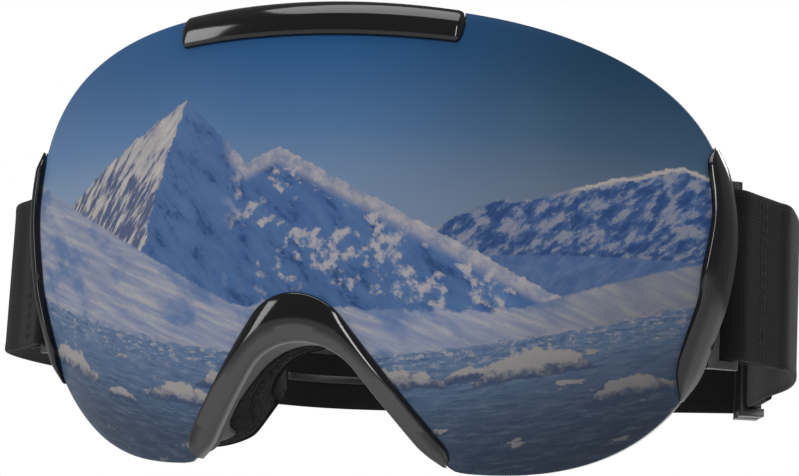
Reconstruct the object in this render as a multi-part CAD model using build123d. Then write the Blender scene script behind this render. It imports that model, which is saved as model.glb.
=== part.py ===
"""Frameless snow goggles: twin toric lens, soft frame, layered face foam, hinged outriggers and an elastic strap.

Millimetres. +X is the wearer's left; -Y is forward, out of the lens; +Z is up.
The origin is the middle of the face opening, between the eyes, where the head sits.
"""
from build123d import *
from build123d.topology import SkipClean
from math import cos, hypot, radians, sin, sqrt, tan
import os

# ---- driving dimensions: the lens ---------------------------------------------------------------
LENS_WIDTH = 176.0
LENS_TOP = 51.9
LENS_BOTTOM = -51.9
LENS_RADIUS_ACROSS = 103.5      # outer face, round the vertical axis
LENS_RADIUS_UP = 113.0          # outer face, over the top
LENS_AXIS_Y = 40.0              # the vertical axis that the lens curves round
LENS_EQUATOR_Z = 13.7           # the level where the lens stands furthest out
WIDEST_Z = 7.2                  # the level of the lens's greatest width
TOP_POWER = 2.74                # superellipse powers of the outline, above and below that level
LOBE_POWER = 2.36
LOBE_X = 35.8                   # where each lower lobe is lowest
LENS_THICK = 1.6
AIR_GAP = 4.4
INNER_LENS_THICK = 1.0

# ---- the nose notch: (radius, centre height) of each crown --------------------------------------
NOTCH_LEAN = 37.25              # the legs, from upright
NOTCH_FOOT = 3.4                # the legs' feet, above the lobe's lowest point
TRIM_NOTCH = (13.4, -27.8)      # the nose trim's upper edge
LENS_NOTCH = (14.5, -34.5)
NOSE_OPENING = (16.0, -40.6)

# ---- the frame and the face ---------------------------------------------------------------------
FRAME_INSET = 5.0               # frame wall inside the lens's edge
TEMPLE_INSET = 7.5              # and that much more at the temples, to make room for the outriggers
WALL = 2.4
LIP_INSET = 2.0
LIP_TEMPLE = 1.5                # and that much more at the temples, clear of the outriggers
LIP_FRONT, LIP_BACK = 2.4, 4.4  # the lip that carries the lens, behind its outer face
SEAL_INSET = 2.6
FACE_RADIUS = 89.0              # the face, round a vertical axis
FACE_AXIS_Y = 67.0
NOSE_RADIUS = 15.0              # the nose, a leaning cylinder
NOSE_TILT = 35.0
NOSE_ROOT_Y = 0.5
NOSE_FOAM_SHARE = 0.7           # the foam is this much of its full depth along the nose
FLEECE, SOFT_FOAM, FIRM_FOAM = 2.0, 5.0, 5.0
FOAM_WIDTH = 13.0
FLANGE = 1.8

# ---- the trims ----------------------------------------------------------------------------------
TRIM_STANDS = 2.4               # how far the trims stand off the lens
TRIM_GAP = 0.1                  # between a trim and what it hooks round
LENS_PLAY = 0.2                 # round the lens's edge
TRIM_BACK_Y = -10.6             # how far back the side trims wrap round the lens's edge
TOP_TRIM_HALF = 34.0
PEG_RADIUS, PEG_HOLE = 1.5, 1.7

# ---- the outriggers and the strap ---------------------------------------------------------------
PIN_X, PIN_Y = 80.0, -5.5       # the hinge pin behind each side trim; x changes sign on the other side
PIN_RADIUS, PIN_GAP = 1.2, 0.05
KNUCKLE_RADIUS, KNUCKLE_HALF = 2.6, 9.0
EAR_THICK, EAR_GAP = 2.6, 0.3
PLATE_THICK = 1.6
REACH = 9.66                    # from the pin to the strap bar
BAR_RADIUS = 1.6
ARM_THICK = 1.8
TURNED_BACK = {"left": 32.0, "right": 21.0}     # each outrigger at rest, from straight out
STRAP_OUT = {"left": 20.0, "right": 40.0}       # each strap end at rest, from straight back
SCREW_Y, SCREW_APART = -12.0, 14.0
SCREW_RADIUS, SCREW_LENGTH = 0.9, 4.0
SCREW_HEAD_RADIUS, SCREW_HEAD_TALL = 1.8, 1.0
STRAP_WIDTH = 40.7
STRAP_MID_Z = -1.35
STRAP_THICK = 1.8
STRAP_END_LENGTH = 16.0
STRAP_END_GAP = 1.0

# ---- the sliders, and the straight stretch of doubled strap that each one runs on ---------------
STRETCH = {"left": ((84.5, 105.0), (69.5, 165.0)), "right": ((-117.0, 92.0), (-110.5, 152.0))}
SLIDER_AT = {"left": 47.0, "right": 33.0}       # each slider's middle at rest, from the stretch's front end
SLIDER_LENGTH = 20.0
SLIDER_RAIL = 2.4
SLIDER_BAR = 3.0
SLIDER_SKIN = 1.4
SLIDER_GAP = 0.35
GRIP_STRIPS, GRIP_WIDTH, GRIP_THICK = 3, 3.0, 0.4

SIGN = {"left": 1, "right": -1}
FOAM_DEPTH = FLEECE + SOFT_FOAM + FIRM_FOAM
STRAP_LOW = STRAP_MID_Z - STRAP_WIDTH / 2
STRAP_HIGH = STRAP_MID_Z + STRAP_WIDTH / 2
HUGE = 150.0


# ---- shared shapes ------------------------------------------------------------------------------
def barrel(offset):
    """Everything behind the lens's outer face moved out by offset: a solid turned round the lens's upright axis."""
    centre = LENS_RADIUS_ACROSS - LENS_RADIUS_UP
    radius = LENS_RADIUS_UP + offset
    half = 80.0
    edge = centre + sqrt(radius**2 - half**2)
    sides = Polyline((edge, 0, half), (0, 0, half), (0, 0, -half), (edge, 0, -half))
    bulge = ThreePointArc((edge, 0, half), (centre + radius, 0, 0), (edge, 0, -half))
    turned = revolve(make_face([sides, bulge]), Axis.Z, 360)
    return Pos(0, LENS_AXIS_Y, LENS_EQUATOR_Z) * turned


def layer(front, back):
    """The curved layer between two depths behind the lens's outer face."""
    return barrel(-front) - barrel(-back)


def head(offset):
    """The face and nose that the foam fits, grown by offset."""
    face = Pos(0, FACE_AXIS_Y, 0) * Cylinder(FACE_RADIUS + offset, 2 * HUGE)
    lean = Pos(0, NOSE_ROOT_Y, 0) * Rot(-NOSE_TILT, 0, 0)
    nose = lean * Cylinder(NOSE_RADIUS + NOSE_FOAM_SHARE * offset, HUGE, align=(Align.CENTER, Align.CENTER, Align.MAX))
    return face + nose


def superellipse(cx, cz, a, b, power, first, last, count):
    """Points of a superellipse in the XZ plane, from angle first to angle last, in degrees from the top."""
    points = []
    for i in range(count + 1):
        angle = radians(first + (last - first) * i / count)
        across = abs(sin(angle)) ** (2 / power) * (1 if sin(angle) >= 0 else -1)
        up = abs(cos(angle)) ** (2 / power) * (1 if cos(angle) >= 0 else -1)
        points.append((cx + a * across, 0, cz + b * up))
    return points


def notch_edges(notch, foot_z):
    """A round crown and two straight legs down to foot_z, from the +X foot to the -X foot."""
    radius, centre_z = notch
    lean = radians(NOTCH_LEAN)
    x, z = radius * cos(lean), centre_z + radius * sin(lean)
    foot = x + (z - foot_z) * tan(lean)
    right = Line((foot, 0, foot_z), (x, 0, z))
    crown = ThreePointArc((x, 0, z), (0, 0, centre_z + radius), (-x, 0, z))
    left = Line((-x, 0, z), (-foot, 0, foot_z))
    return foot, [right, crown, left]


def outline(inset, temple=0.0, notch=LENS_NOTCH, grow=0.0):
    """The goggles' front outline, inset all round, with a nose notch grown by grow. temple insets the sides."""
    half = LENS_WIDTH / 2 - inset - temple
    top = LENS_TOP - inset
    bottom = LENS_BOTTOM + inset
    crown = superellipse(0, WIDEST_Z, half, top - WIDEST_Z, TOP_POWER, -90, 90, 20)
    lobe = superellipse(LOBE_X, WIDEST_Z, half - LOBE_X, WIDEST_Z - bottom, LOBE_POWER, 90, 180, 9)
    foot, notch_line = notch_edges((notch[0] + grow, notch[1]), bottom + NOTCH_FOOT)
    lean = radians(NOTCH_LEAN)
    over = Spline(*crown, tangents=[(0, 0, 1), (0, 0, -1)])
    down = Spline(*lobe, tangents=[(0, 0, -1), (-1, 0, 0)])
    turn = Spline(lobe[-1], (foot, 0, bottom + NOTCH_FOOT), tangents=[(-1, 0, 0), (-sin(lean), 0, cos(lean))])
    edges = [over, down, turn, *notch_line, turn.mirror(Plane.YZ), down.mirror(Plane.YZ)]
    return make_face(Wire(edges))


def prism(face, front=-90.0, back=39.0):
    """A front outline drawn out along Y."""
    return Pos(0, front, 0) * extrude(face, amount=back - front, dir=(0, 1, 0))


def block(x, y, z):
    """A box from its limits along each axis."""
    size = (x[1] - x[0], y[1] - y[0], z[1] - z[0])
    return Pos((x[0] + x[1]) / 2, (y[0] + y[1]) / 2, (z[0] + z[1]) / 2) * Box(*size)


def rod(x, z, radius, front, back):
    """A round rod along Y."""
    return Pos(x, (front + back) / 2, z) * Rot(90, 0, 0) * Cylinder(radius, back - front)


parts = {}


# ---- the lens unit ------------------------------------------------------------------------------
LIP_GROW = 5.0                                  # the lip is this wide round the nose notch
UNIT_GAP = 0.6                                  # the inner lens sits this far inside the lip
UNIT_INSET = FRAME_INSET + WALL + UNIT_GAP
UNIT_GROW = LIP_GROW + UNIT_GAP
UNIT_BACK = LENS_THICK + AIR_GAP + INNER_LENS_THICK + 0.3
SPACER_WIDTH = 4.0
PEGS = [(-22.0, 47.3), (22.0, 47.3), (0.0, -16.6)]


def peg_holes(radius):
    """The holes that the trims' pegs pass through."""
    return [rod(x, z, radius, -80, -30) for x, z in PEGS]


def seal_edge(gap=0.0):
    """What lies inside the seal's outer edge."""
    return prism(outline(SEAL_INSET - gap, LIP_TEMPLE, LENS_NOTCH, 1.0 - gap))


def lip_edge(gap=0.0):
    """What lies inside the lip's outer edge."""
    return prism(outline(LIP_INSET - gap, LIP_TEMPLE, NOSE_OPENING, -gap))


def lip_inside():
    """What lies inside the lip's inner edge."""
    return prism(outline(FRAME_INSET + WALL, TEMPLE_INSET, LENS_NOTCH, LIP_GROW))


def lens_unit():
    """Outer lens, foam spacer and inner lens, all following the same curve."""
    full = outline(UNIT_INSET, TEMPLE_INSET, LENS_NOTCH, UNIT_GROW)
    hollow = outline(UNIT_INSET + SPACER_WIDTH, TEMPLE_INSET, LENS_NOTCH, UNIT_GROW + SPACER_WIDTH)
    inner_front = LENS_THICK + AIR_GAP
    parts["outer_lens"] = prism(outline(0)) & layer(0, LENS_THICK)
    parts["outer_lens"] -= peg_holes(PEG_HOLE)
    parts["lens_spacer"] = (prism(full) - prism(hollow)) & layer(LENS_THICK, inner_front)
    inner = prism(full) & layer(inner_front, inner_front + INNER_LENS_THICK)
    halves = [inner & block(x, (-HUGE, HUGE), (-HUGE, HUGE)) for x in ((-HUGE, 0), (0, HUGE))]
    with SkipClean():                           # keeps an edge along the lens's foremost line
        parts["inner_lens"] = halves[0].fuse(halves[1])


# ---- the frame ----------------------------------------------------------------------------------
TOP_VENTS, TOP_VENT_PITCH, TOP_VENT_WIDTH = 7, 13.0, 9.5
LOW_VENTS, LOW_VENT_FIRST, LOW_VENT_PITCH, LOW_VENT_WIDTH = 3, 34.0, 10.0, 7.0
TOP_VENT_DEPTH, LOW_VENT_DEPTH = 6.0, 3.4
VENT_REACH = 16.0               # up and down, through the wall
VENT_FOAM_THICK = 2.0


def vent_y(x, z):
    """The middle of a vent: behind the lip, in front of the foam flange."""
    reach = LENS_RADIUS_ACROSS - LENS_RADIUS_UP + sqrt(LENS_RADIUS_UP**2 - (z - LENS_EQUATOR_Z) ** 2)
    lip = LENS_AXIS_Y - sqrt((reach - LIP_BACK) ** 2 - x**2)
    flange = FACE_AXIS_Y - sqrt((FACE_RADIUS + FOAM_DEPTH + FLANGE) ** 2 - x**2)
    return (lip + flange) / 2


def frame():
    """A straight wall behind the lens, a lip that carries the lens and a flange that carries the foam."""
    opening = prism(outline(FRAME_INSET, TEMPLE_INSET, NOSE_OPENING))
    inside = prism(outline(FRAME_INSET + WALL, TEMPLE_INSET, NOSE_OPENING, WALL))
    foam_inside = prism(outline(FRAME_INSET + FOAM_WIDTH, TEMPLE_INSET, NOSE_OPENING, FOAM_WIDTH))
    wall = (opening - inside) & barrel(-LIP_FRONT)
    wall -= head(FOAM_DEPTH)
    lip = (lip_edge() - lip_inside()) & layer(LIP_FRONT, LIP_BACK)
    flange = (opening - foam_inside) & (head(FOAM_DEPTH + FLANGE) - head(FOAM_DEPTH))
    body = wall + lip + flange
    for i in range(TOP_VENTS):
        x = (i - (TOP_VENTS - 1) / 2) * TOP_VENT_PITCH
        y = vent_y(x, LENS_TOP - FRAME_INSET)
        body -= Pos(x, y, LENS_TOP - FRAME_INSET) * Box(TOP_VENT_WIDTH, TOP_VENT_DEPTH, VENT_REACH)
    for i in range(LOW_VENTS):
        for side in SIGN.values():
            x = LOW_VENT_FIRST + i * LOW_VENT_PITCH
            y = vent_y(x, LENS_BOTTOM + FRAME_INSET)
            low = Pos(side * x, y, LENS_BOTTOM + FRAME_INSET)
            body -= low * Box(LOW_VENT_WIDTH, LOW_VENT_DEPTH, VENT_REACH)
    return body - peg_holes(PEG_RADIUS)


def lens_seal():
    """The soft seal between the outer lens and the frame's lip."""
    parts["lens_gasket"] = (seal_edge() - lip_inside()) & layer(LENS_THICK, LIP_FRONT)
    parts["lens_gasket"] -= peg_holes(PEG_HOLE)


def vent_foams():
    """Open-cell foam over the vents, inside the frame wall."""
    outer = prism(outline(FRAME_INSET + WALL, TEMPLE_INSET, NOSE_OPENING, WALL))
    inner_inset = FRAME_INSET + WALL + VENT_FOAM_THICK
    inner = prism(outline(inner_inset, TEMPLE_INSET, NOSE_OPENING, WALL + VENT_FOAM_THICK))
    shell = (outer - inner) & barrel(-UNIT_BACK)
    shell -= head(FOAM_DEPTH + FLANGE + 0.3)
    top_half = TOP_VENTS * TOP_VENT_PITCH / 2
    parts["top_vent_foam"] = shell & block((-top_half, top_half), (-70, 10), (25, 60))
    low_end = LOW_VENT_FIRST + LOW_VENTS * LOW_VENT_PITCH
    low = shell & block((28, low_end), (-70, 10), (-60, -25))
    parts["lower_vent_foam_left"] = low
    parts["lower_vent_foam_right"] = mirror(low, Plane.YZ)


def face_foams():
    """Three layers that follow the face: firm foam on the frame, soft foam, then fleece on the skin."""
    ring = prism(outline(FRAME_INSET, TEMPLE_INSET, NOSE_OPENING), back=60.0)
    ring -= prism(outline(FRAME_INSET + FOAM_WIDTH, TEMPLE_INSET, NOSE_OPENING, FOAM_WIDTH), back=60.0)
    depths = [("face_fleece", 0.0, FLEECE), ("face_foam_soft", FLEECE, FLEECE + SOFT_FOAM),
              ("face_foam_firm", FLEECE + SOFT_FOAM, FOAM_DEPTH)]
    for name, near, far in depths:
        parts[name] = ring & (head(far) - head(near))


# ---- the trims ----------------------------------------------------------------------------------
def trim(face, skirt, back_y):
    """A trim clipped on the lens's edge: a band on its face, a skirt past the edge and a hook behind it."""
    band = prism(face, back=back_y) & (barrel(TRIM_STANDS) - barrel(-skirt))
    band -= prism(outline(-LENS_PLAY, 0, LENS_NOTCH, -LENS_PLAY)) & layer(0, LENS_THICK)
    band -= seal_edge(TRIM_GAP) & barrel(-LENS_THICK)
    return band - (lip_edge(TRIM_GAP) & barrel(TRIM_GAP - LIP_FRONT))


def top_trim():
    """The arched cover over the lens's top edge."""
    half = TOP_TRIM_HALF
    lower = ThreePointArc((-half + 2.5, 0, 42.9), (0, 0, 44.1), (half - 2.5, 0, 42.9))
    right = ThreePointArc((half - 2.5, 0, 42.9), (half, 0, 46.8), (half - 0.3, 0, 51.3))
    upper = ThreePointArc((half - 0.3, 0, 51.3), (0, 0, 52.9), (-half + 0.3, 0, 51.3))
    left = ThreePointArc((-half + 0.3, 0, 51.3), (-half, 0, 46.8), (-half + 2.5, 0, 42.9))
    parts["top_trim"] = trim(make_face([lower, right, upper, left]), LIP_BACK, 0.0)


def nose_trim():
    """The arched cover over the nose notch, with a rounded end on each leg."""
    foot_z = -48.6
    outer_x, outer = notch_edges(TRIM_NOTCH, foot_z)
    inner_x, inner = notch_edges(NOSE_OPENING, foot_z)
    low = foot_z - (outer_x - inner_x) * 0.42
    middle = (outer_x + inner_x) / 2 + 0.6
    ends = [ThreePointArc((s * outer_x, 0, foot_z), (s * middle, 0, low), (s * inner_x, 0, foot_z)) for s in (1, -1)]
    parts["nose_trim"] = trim(make_face(outer + inner + ends), LIP_FRONT, 0.0)


def side_trims():
    """A curved cover down each side of the lens, wrapped round its edge."""
    inner = [(85.6, 26.0), (84.5, 22.0), (85.4, 8.6), (82.7, -9.5), (77.9, -26.0), (78.4, -32.6)]
    outer = [(78.4, -32.6), (82.7, -26.6), (87.6, -12.0), (90.2, 2.0), (90.3, 12.0), (88.2, 21.5), (85.6, 26.0)]
    edges = [Spline(*[(x, 0, z) for x, z in line]) for line in (inner, outer)]
    left = trim(make_face(edges), 20.0, TRIM_BACK_Y)
    parts["side_trim_left"] = left
    parts["side_trim_right"] = mirror(left, Plane.YZ)


def trim_pegs():
    """Pegs from the top and nose trims, through the lens and into the frame's lip."""
    through = barrel(0.0) - barrel(-LIP_BACK - 1.5)
    pegs = [rod(x, z, PEG_RADIUS, -80, -30) & through for x, z in PEGS]
    parts["trim_pegs"] = Compound(children=[p.solids()[0] for p in pegs])


# ---- the outriggers -----------------------------------------------------------------------------
def outrigger(side):
    """A knuckle on the pin, a spine, two arms and the strap bar. Built along +X, then turned to its rest place."""
    half = STRAP_WIDTH / 2 + 0.3
    tall = half + ARM_THICK
    spine = (KNUCKLE_RADIUS + 0.4, 5.8)
    knuckle = Cylinder(KNUCKLE_RADIUS, 2 * KNUCKLE_HALF)
    body = knuckle + block((0, spine[1]), (-1.6, 1.6), (-KNUCKLE_HALF, KNUCKLE_HALF))
    body += block(spine, (-1.8, 1.8), (-tall, tall))
    for end in (1, -1):
        z = end * (half + ARM_THICK / 2)
        body += Pos((spine[0] + REACH) / 2, 0, z) * Box(REACH - spine[0], 3.2, ARM_THICK)
        body += Pos(REACH, 0, z) * Cylinder(BAR_RADIUS, ARM_THICK)
    body += Pos(REACH, 0, 0) * Cylinder(BAR_RADIUS, 2 * half)
    body -= Cylinder(PIN_RADIUS + PIN_GAP, 3 * tall)
    turn = TURNED_BACK[side] if side == "left" else 180 - TURNED_BACK[side]
    return Pos(SIGN[side] * PIN_X, PIN_Y, STRAP_MID_Z) * Rot(0, 0, turn) * body


def bar_place(side):
    """Where the strap bar is, at rest, seen from above."""
    turn = radians(TURNED_BACK[side])
    return (SIGN[side] * (PIN_X + REACH * cos(turn)), PIN_Y + REACH * sin(turn))


def hinge(side):
    """The bracket on the frame wall, with two ears, and the steel pin through them."""
    sign = SIGN[side]
    wall_x = LENS_WIDTH / 2 - FRAME_INSET - TEMPLE_INSET
    plate_x = (wall_x - WALL, wall_x + PLATE_THICK)
    low, high = STRAP_MID_Z - KNUCKLE_HALF, STRAP_MID_Z + KNUCKLE_HALF
    ear_low = (low - EAR_GAP - EAR_THICK, low - EAR_GAP)
    ear_high = (high + EAR_GAP, high + EAR_GAP + EAR_THICK)
    bracket = block(plate_x, (SCREW_Y - 3, PIN_Y + 4), (ear_low[0], ear_high[1]))
    for z in (ear_low, ear_high):
        bracket += block((plate_x[0], PIN_X), (PIN_Y - KNUCKLE_RADIUS, PIN_Y + KNUCKLE_RADIUS), z)
        bracket += Pos(PIN_X, PIN_Y, (z[0] + z[1]) / 2) * Cylinder(KNUCKLE_RADIUS, z[1] - z[0])
    bracket &= barrel(-LIP_BACK - 0.1)
    bracket -= prism(outline(FRAME_INSET, TEMPLE_INSET, NOSE_OPENING))
    bracket -= Pos(PIN_X, PIN_Y, 0) * Cylinder(PIN_RADIUS, HUGE)
    screws = []
    for z in (STRAP_MID_Z - SCREW_APART / 2, STRAP_MID_Z + SCREW_APART / 2):
        face_x = wall_x + PLATE_THICK
        shank = Pos(face_x - SCREW_LENGTH / 2, SCREW_Y, z) * Rot(0, 90, 0) * Cylinder(SCREW_RADIUS, SCREW_LENGTH)
        head_x = face_x + SCREW_HEAD_TALL / 2
        screw_head = Pos(head_x, SCREW_Y, z) * Rot(0, 90, 0) * Cylinder(SCREW_HEAD_RADIUS, SCREW_HEAD_TALL)
        screws.append(shank + screw_head)
        bracket -= shank
    pin = Pos(PIN_X, PIN_Y, (ear_low[0] + ear_high[1]) / 2) * Cylinder(PIN_RADIUS, ear_high[1] - ear_low[0] + 1.0)
    pieces = [bracket, pin, *screws]
    if sign < 0:
        pieces = [mirror(piece, Plane.YZ) for piece in pieces]
    parts[f"hinge_bracket_{side}"] = pieces[0]
    parts[f"hinge_pin_{side}"] = pieces[1]
    return pieces[2:]


# ---- the strap ----------------------------------------------------------------------------------
def ribbon(path, thick, low, high):
    """An upright band of the given thickness along a path seen from above."""
    count = 40
    edges = []
    for across in (thick / 2, -thick / 2):
        points = []
        for i in range(count + 1):
            place, run = path @ (i / count), path % (i / count)
            points.append((place.X + run.Y * across, place.Y - run.X * across, low))
        edges.append(Spline(*points))
    ends = [Line(edges[0] @ t, edges[1] @ t) for t in (0, 1)]
    return extrude(make_face(edges + ends), amount=high - low, dir=(0, 0, 1))


def strap_way(side):
    """The strap end's direction away from the bar and its outward normal, seen from above."""
    sign, out = SIGN[side], radians(STRAP_OUT[side])
    return (sign * sin(out), cos(out)), (sign * cos(out), -sin(out))


def beside_bar(side, along, outward):
    """A point beside the strap bar, measured along the strap and outwards from it."""
    (bx, by), (way, normal) = bar_place(side), strap_way(side)
    return (bx + way[0] * along + normal[0] * outward, by + way[1] * along + normal[1] * outward)


LAYER = BAR_RADIUS + STRAP_THICK / 2 + 0.15     # the strap's middle line, from the bar's middle


def strap_end(side):
    """The sewn loop round the strap bar: a teardrop of two layers."""
    outer, inner = LAYER + STRAP_THICK / 2, LAYER - 1.5 * STRAP_THICK
    front = beside_bar(side, -outer, 0)
    edges = [Line(beside_bar(side, 0, outer), beside_bar(side, STRAP_END_LENGTH, outer)),
             Line(beside_bar(side, STRAP_END_LENGTH, outer), beside_bar(side, STRAP_END_LENGTH, inner)),
             Line(beside_bar(side, STRAP_END_LENGTH, inner), beside_bar(side, 10, inner)),
             Line(beside_bar(side, 10, inner), beside_bar(side, 0, -outer)),
             ThreePointArc(beside_bar(side, 0, -outer), front, beside_bar(side, 0, outer))]
    face = make_face([edge.moved(Location((0, 0, STRAP_LOW))) for edge in edges])
    bx, by = bar_place(side)
    return extrude(face, amount=STRAP_WIDTH, dir=(0, 0, 1)) - Pos(bx, by, 0) * Cylinder(BAR_RADIUS + 0.15, HUGE)


SIDE_WAY = {"left": [(98.6, 22.0), (97.5, 48.0), (92.5, 76.0)], "right": [(-111.5, 23.0), (-115.5, 52.0)]}
REAR_WAY = [(46.0, 175.0), (-8.0, 191.5), (-62.0, 207.5), (-92.0, 198.0)]


def unit(a, b):
    """The direction from a to b, seen from above."""
    length = hypot(b[0] - a[0], b[1] - a[1])
    return ((b[0] - a[0]) / length, (b[1] - a[1]) / length)


def beside_stretch(side, along, outward):
    """A point on the slider's stretch, measured along it and outwards from it."""
    start, end = STRETCH[side]
    run = unit(start, end)
    normal = (SIGN[side] * run[1], -SIGN[side] * run[0])
    return (start[0] + run[0] * along + normal[0] * outward, start[1] + run[1] * along + normal[1] * outward)


def stretch_length(side):
    start, end = STRETCH[side]
    return hypot(end[0] - start[0], end[1] - start[1])


def strap():
    """Two side straps, each the inner layer of a doubled stretch, and the rear strap, the outer layer."""
    half = STRAP_THICK / 2
    for side in SIGN:
        start = beside_bar(side, STRAP_END_LENGTH + STRAP_END_GAP, LAYER)
        meet, tip = beside_stretch(side, 0, -half), beside_stretch(side, stretch_length(side), -half)
        bend = Spline(start, *SIDE_WAY[side], meet, tangents=[strap_way(side)[0], unit(meet, tip)])
        bands = [ribbon(bend, STRAP_THICK, STRAP_LOW, STRAP_HIGH),
                 ribbon(Line(meet, tip), STRAP_THICK, STRAP_LOW, STRAP_HIGH)]
        parts[f"strap_side_{side}"] = bands[0] + bands[1]
    tips, corners = {}, {}
    for side in SIGN:
        tips[side] = beside_stretch(side, 6, half)
        corners[side] = beside_stretch(side, stretch_length(side), half)
    leaving = unit(tips["left"], corners["left"])
    arriving = unit(corners["right"], tips["right"])
    rear = Spline(corners["left"], *REAR_WAY, corners["right"], tangents=[leaving, arriving])
    bands = [ribbon(line, STRAP_THICK, STRAP_LOW, STRAP_HIGH)
             for line in (Line(tips["left"], corners["left"]), rear, Line(corners["right"], tips["right"]))]
    parts["strap_rear"] = bands[0] + bands[1] + bands[2]
    return rear


def grip_strips(rear):
    """Silicone strips along the rear strap's inner face."""
    first, last, steps = 0.2, 0.8, 12
    line = []
    for i in range(steps + 1):
        t = first + (last - first) * i / steps
        place, run = rear @ t, rear % t
        inward = STRAP_THICK / 2 + GRIP_THICK / 2 + 0.05
        line.append((place.X - run.Y * inward, place.Y + run.X * inward))
    inner = Spline(*line)
    strips = []
    for i in range(GRIP_STRIPS):
        z = STRAP_MID_Z + (i - (GRIP_STRIPS - 1) / 2) * STRAP_WIDTH / 4
        strips.append(ribbon(inner, GRIP_THICK, z - GRIP_WIDTH / 2, z + GRIP_WIDTH / 2))
    parts["grip_strips"] = Compound(children=[strip.solids()[0] for strip in strips])


def slider(side):
    """A moulded frame round the doubled strap: rails past both edges, end bars inside, one bar outside."""
    room = STRAP_THICK + SLIDER_GAP             # half the slot's depth
    half = STRAP_WIDTH / 2 + SLIDER_GAP         # half the slot's height
    tall = half + SLIDER_RAIL
    deep = room + SLIDER_SKIN
    end = SLIDER_LENGTH / 2
    body = Box(SLIDER_LENGTH, 2 * deep, 2 * tall) - Box(2 * SLIDER_LENGTH, 2 * room, 2 * half)
    cut = 2 * (end - SLIDER_BAR)                # a window inside, and two beside the outer bar
    body -= Pos(0, deep, 0) * Box(cut, 2 * SLIDER_SKIN, 2 * half)
    for s in (1, -1):
        body -= Pos(s * end, -deep, 0) * Box(cut, 2 * SLIDER_SKIN, 2 * half)
        body -= Pos(0, 0, s * tall) * Rot(90, 0, 0) * Cylinder(SLIDER_RAIL * 0.7, 4 * deep)
    run = unit(*STRETCH[side])
    place = beside_stretch(side, SLIDER_AT[side], 0)
    inside = Plane(origin=(*place, STRAP_MID_Z), x_dir=(*run, 0), z_dir=(0, 0, SIGN[side]))
    return inside * body


# ---- all of it ----------------------------------------------------------------------------------
lens_unit()
body = frame()
lens_seal()
vent_foams()
face_foams()
top_trim()
nose_trim()
side_trims()
trim_pegs()
screws = hinge("left") + hinge("right")
for screw in screws:
    body -= screw
parts["frame_body"] = body
parts["bracket_screws"] = Compound(children=[screw.solids()[0] for screw in screws])
rear_path = strap()
grip_strips(rear_path)
for side in SIGN:
    parts[f"outrigger_{side}"] = outrigger(side)
    parts[f"strap_end_{side}"] = strap_end(side)
    parts[f"slider_{side}"] = slider(side)

os.makedirs("parts", exist_ok=True)
for name, shape in parts.items():
    export_step(shape, f"parts/{name}.step")
    print(name, len(shape.solids()), round(shape.volume))
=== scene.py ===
# %% [markdown]
# # Snow goggles: the looks, built round the imported frame
#
# The imported model fixes every place and size: the twin lens, the frame, the hinges and the strap's route.
# Here each visible piece gets its real shape and finish. The model is loaded first.

# %% Load the imported model
import math
import random

import bmesh
import bpy
import numpy as np
from mathutils import Matrix, Vector


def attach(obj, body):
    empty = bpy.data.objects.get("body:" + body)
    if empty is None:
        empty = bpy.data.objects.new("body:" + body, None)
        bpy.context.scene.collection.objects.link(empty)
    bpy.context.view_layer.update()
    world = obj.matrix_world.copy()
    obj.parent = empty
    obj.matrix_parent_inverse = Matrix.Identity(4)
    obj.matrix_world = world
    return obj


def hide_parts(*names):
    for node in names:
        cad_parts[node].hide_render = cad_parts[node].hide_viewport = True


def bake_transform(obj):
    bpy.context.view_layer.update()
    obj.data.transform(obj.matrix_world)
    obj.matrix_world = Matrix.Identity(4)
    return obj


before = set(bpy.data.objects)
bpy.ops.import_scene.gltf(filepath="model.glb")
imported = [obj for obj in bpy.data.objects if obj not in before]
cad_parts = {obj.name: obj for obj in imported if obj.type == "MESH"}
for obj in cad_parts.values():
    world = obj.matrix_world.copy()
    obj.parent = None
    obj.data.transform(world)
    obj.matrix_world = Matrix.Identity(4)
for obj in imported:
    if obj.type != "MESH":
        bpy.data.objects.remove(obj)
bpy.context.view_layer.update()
MM = 0.001

# %% [markdown]
# The camera comes first, because every choice of shape and finish is judged through it. It stands a little to the
# wearer's left of the goggles and a little below them, looking slightly up, with a small roll. A long lens keeps
# the perspective flat.

# %% Camera
TARGET = Vector((0.011, -0.020, 0.0042))
DISTANCE, YAW, RISE, ROLL = 0.4875, math.radians(17.29), math.radians(8.565), math.radians(2.97)
FOCAL_MM = 91.7


def aim(distance, yaw, rise, roll):
    """A camera's matrix: it looks along a direction turned yaw from +Y and rise above level."""
    ahead = Vector((-math.sin(yaw) * math.cos(rise), math.cos(yaw) * math.cos(rise), math.sin(rise)))
    right = ahead.cross(Vector((0, 0, 1))).normalized()
    up = right.cross(ahead)
    across = right * math.cos(roll) + up * math.sin(roll)
    above = up * math.cos(roll) - right * math.sin(roll)
    matrix = Matrix((across, above, -ahead)).transposed().to_4x4()
    matrix.translation = TARGET - ahead * distance
    return matrix


camera = bpy.data.objects.new("camera", bpy.data.cameras.new("camera"))
camera.data.lens, camera.data.sensor_width = FOCAL_MM, 36.0
camera.data.clip_start = 0.01
camera.matrix_world = aim(DISTANCE, YAW, RISE, ROLL)
bpy.context.collection.objects.link(camera)
bpy.context.scene.camera = camera
print("camera at", [round(c, 3) for c in camera.location])

# %% [markdown]
# Gloss black plastic is drawn almost wholly by what it mirrors, so the studio is a set of large soft lights round
# a pale room: one wide light overhead, a tall one on each side, and a low grey card that puts the soft grey band
# on faces that look down. The room is white behind the goggles and dimmer in what they mirror.

# %% Studio
ROOM_SEEN, ROOM_MIRRORED = 1.0, 0.22
FLOOR_Z = -0.085


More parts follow.
